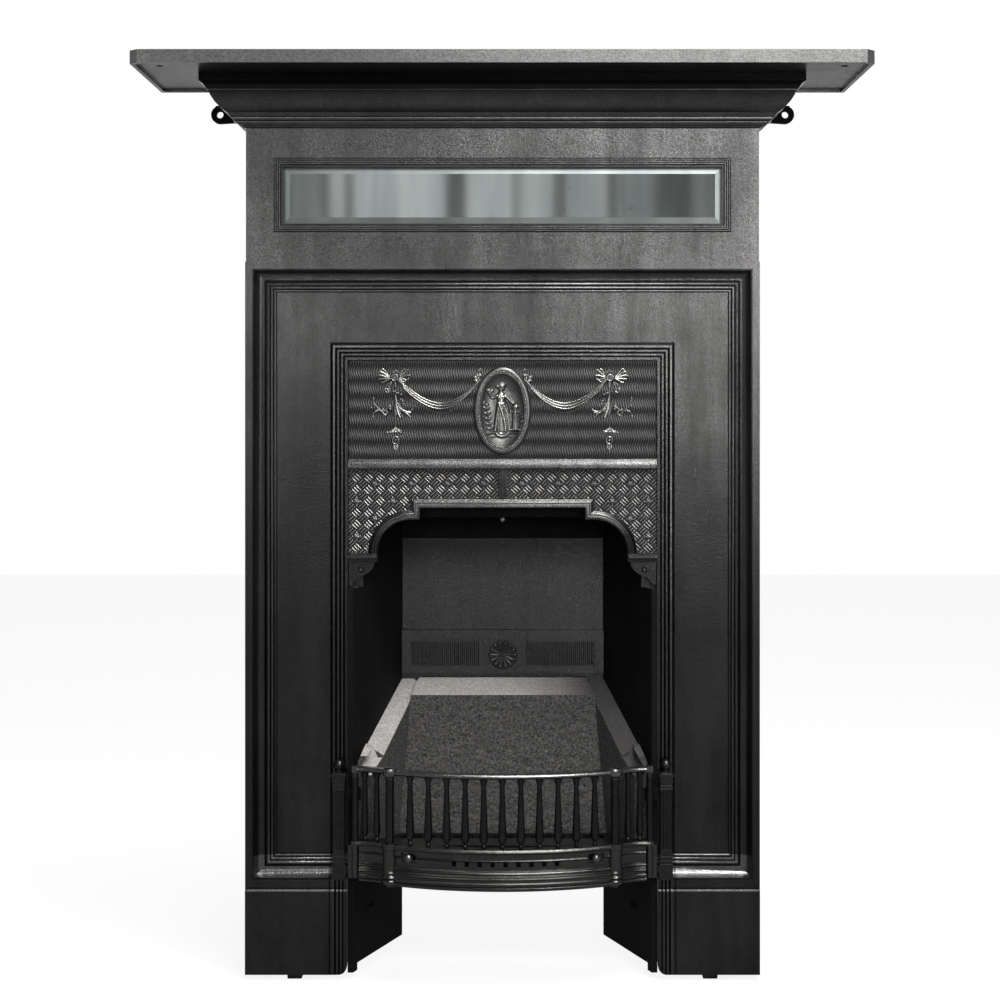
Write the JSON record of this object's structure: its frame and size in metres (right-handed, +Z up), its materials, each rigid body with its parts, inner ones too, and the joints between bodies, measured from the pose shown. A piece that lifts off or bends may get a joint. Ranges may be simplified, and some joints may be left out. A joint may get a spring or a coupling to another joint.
{
  "type": "cast iron fireplace",
  "caption": "Cast iron combination fireplace with mantel shelf, mirrored frieze, woven arched hood, fluted fire back and a bow fronted baluster grate.",
  "frame": {"origin": "bottom centre of the whole fireplace's box, on the floor that its two foot ribs stand on", "axes": "+X to the viewer's right, +Y to the back towards the wall, +Z up; the front faces -Y"},
  "size_m": [0.954, 0.305, 1.231],
  "materials": {
    "front_iron": "graphite polished",
    "bar_iron": "graphite polished",
    "inner_iron": "dull black",
    "mirror": "polished, aged",
    "wood": "plain",
    "steel": "worn",
    "bright_knob": "worn bright",
    "fireclay": "rough"
  },
  "bodies": {
    "fireplace": {"shelf": "front_iron", "cornice": "front_iron", "frieze": "front_iron", "mirror_glass": "mirror", "mirror_board": "wood", "mirror_clips": "steel", "mirror_screws": "steel", "shelf_bolts": "steel", "frieze_bolts": "steel", "wall_lugs": "front_iron", "lug_bolts": "steel", "surround": "front_iron", "feet": "front_iron", "post_left": "front_iron", "post_right": "front_iron", "post_balls": "front_iron", "swag_panel": "front_iron", "medallion": "front_iron", "hood": "front_iron", "hood_divider": "front_iron", "hood_ears": "front_iron", "ear_studs": "front_iron", "insert_bolts": "steel", "fire_back": "bar_iron", "flute_band": "bar_iron", "rosette": "bar_iron", "cheek_left": "inner_iron", "cheek_right": "inner_iron", "cheek_bolts": "steel", "leg_studs": "inner_iron", "brick_back": "fireclay", "brick_left": "fireclay", "brick_right": "fireclay", "throat_frame": "inner_iron", "damper_pin": "steel", "grate_ledges": "inner_iron", "apron": "bar_iron", "slide_guides": "inner_iron", "hang_lugs": "inner_iron"},
    "damper": {"damper_flap": "inner_iron", "damper_knob": "bright_knob"},
    "front_bars": {"top_rail": "bar_iron", "balusters": "bar_iron", "corner_posts": "bar_iron", "bottom_rail": "bar_iron"},
    "fuel_grid": {"bottom_grate": "inner_iron"},
    "air_regulator": {"air_slide": "inner_iron", "slide_knobs": "bar_iron"}
  },
  "joints": [
    {"name": "damper_hinge", "type": "hinge", "parent": "fireplace", "child": "damper", "pos_m": [0, 0.1325, 0.637], "axis": [-1, 0, 0], "range_deg": [0, 75]},
    {"name": "front_bars_lift", "type": "slide", "parent": "fireplace", "child": "front_bars", "axis": [0, 0, 1], "range_m": [0, 0.05]},
    {"name": "fuel_grid_lift", "type": "slide", "parent": "fireplace", "child": "fuel_grid", "axis": [0, 0, 1], "range_m": [0, 0.1]},
    {"name": "air_slide_turn", "type": "hinge", "parent": "fireplace", "child": "air_regulator", "pos_m": [0, 0.29206, 0.176], "axis": [0, 0, 1], "range_deg": [-0.78, 0.78]}
  ]
}
